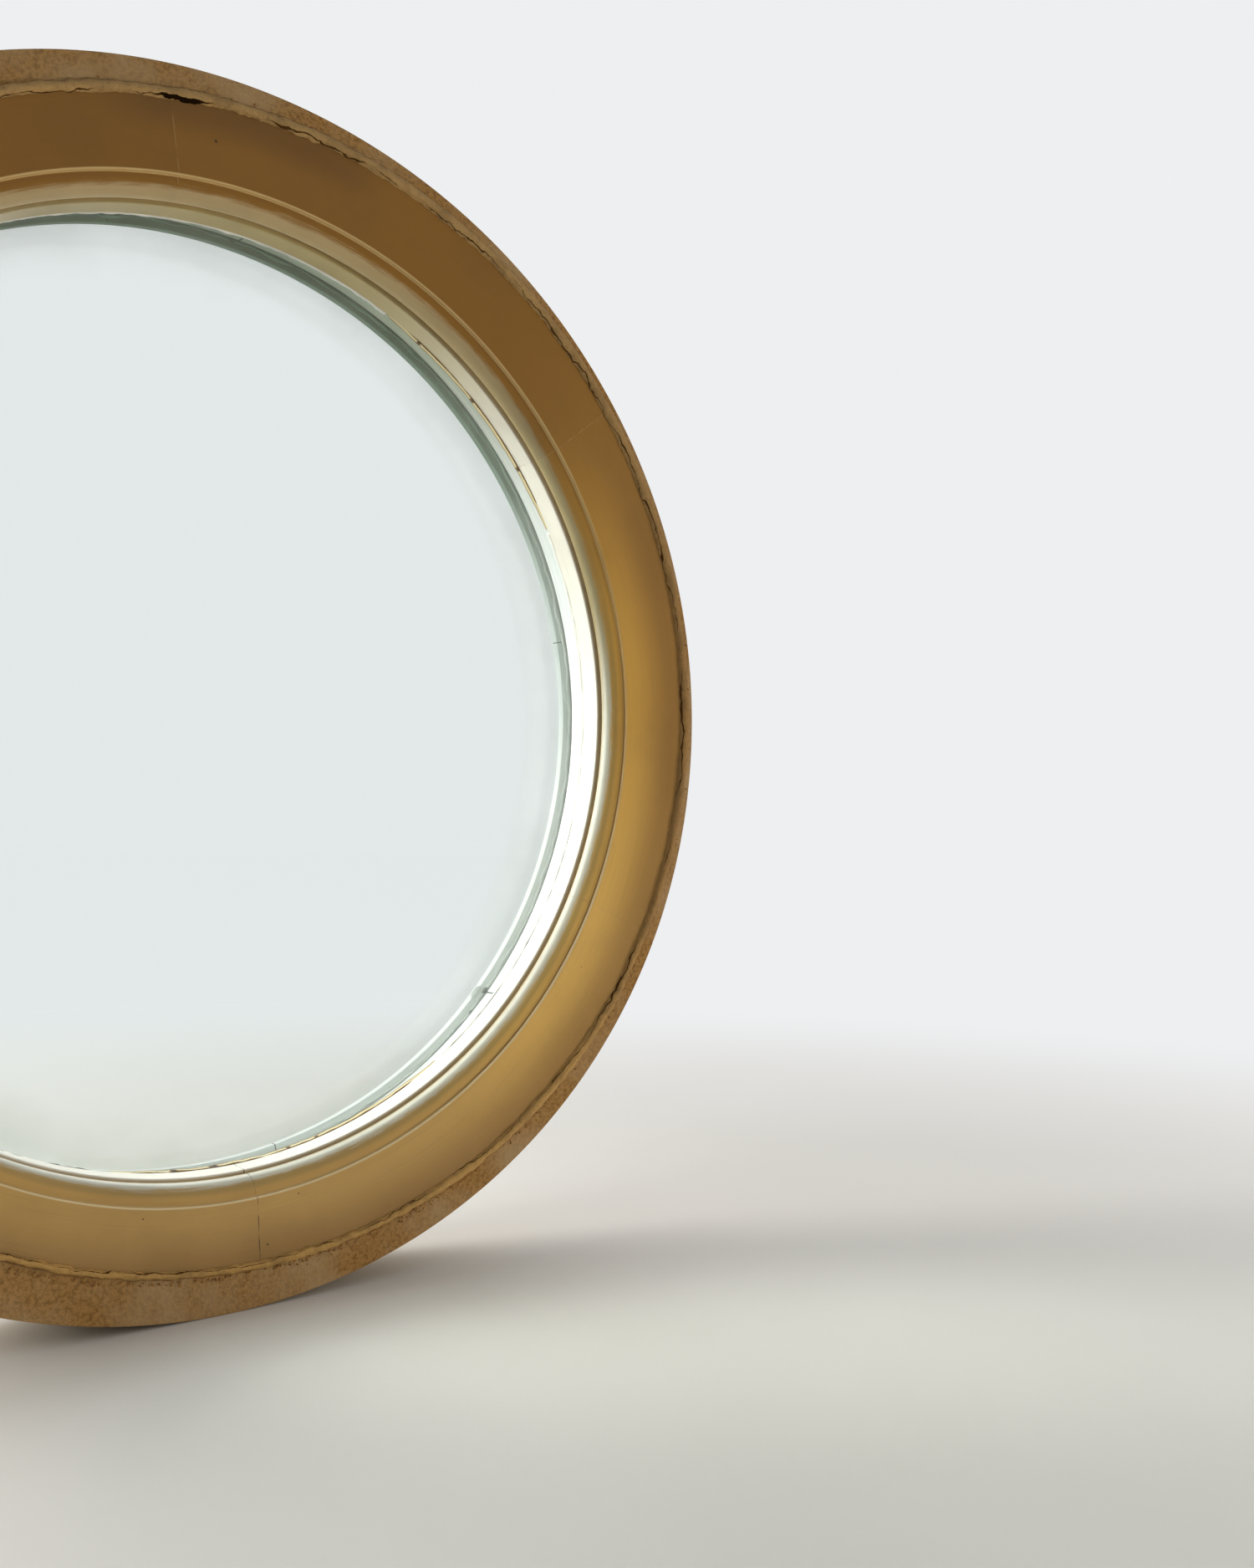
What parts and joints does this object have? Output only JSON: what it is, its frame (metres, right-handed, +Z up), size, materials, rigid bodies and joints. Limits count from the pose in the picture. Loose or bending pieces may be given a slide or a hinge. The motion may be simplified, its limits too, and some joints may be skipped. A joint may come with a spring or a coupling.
{
  "type": "round window",
  "caption": "Round fixed window: a moulded painted timber ring, jointed in segments, holds a sealed double-glazed unit with splayed beads on the outdoor side.",
  "frame": {"origin": "centre of the ring, half way through the depth of its rim", "axes": "+Y along the ring's axis from the room to the outdoors, +Z up"},
  "size_m": [0.6, 0.0725, 0.6],
  "materials": {
    "painted_timber": "gloss paint, yellowed",
    "painted_bead": "gloss paint, weathered",
    "plywood": "raw",
    "pin_steel": "bright",
    "float_glass": "clear",
    "spacer_aluminium": "satin",
    "key_steel": "zinc plated",
    "drying_beads": "matt",
    "butyl": "matt",
    "edge_sealant": "matt",
    "block_plastic": "moulded",
    "glazing_tape": "matt",
    "room_sealant": "satin",
    "weather_sealant": "satin",
    "painted_filler": "painted, cracked"
  },
  "bodies": {
    "root": {"bead_pins": "pin_steel", "desiccant": "drying_beads", "edge_seal": "edge_sealant", "frame_segment_1": "painted_timber", "frame_segment_2": "painted_timber", "frame_segment_3": "painted_timber", "frame_segment_4": "painted_timber", "frame_segment_5": "painted_timber", "frame_segment_6": "painted_timber", "glazing_blocks": "block_plastic", "inner_butyl_seal": "butyl", "inner_pane": "float_glass", "joint_tongues": "plywood", "outer_bead_1": "painted_bead", "outer_bead_2": "painted_bead", "outer_bead_3": "painted_bead", "outer_bead_4": "painted_bead", "outer_butyl_seal": "butyl", "outer_pane": "float_glass", "perimeter_filler": "painted_filler", "room_sealant": "room_sealant", "room_tape": "glazing_tape", "spacer_bar_long": "spacer_aluminium", "spacer_bar_short": "spacer_aluminium", "spacer_keys": "key_steel", "weather_sealant": "weather_sealant", "weather_tape": "glazing_tape"}
  },
  "joints": []
}
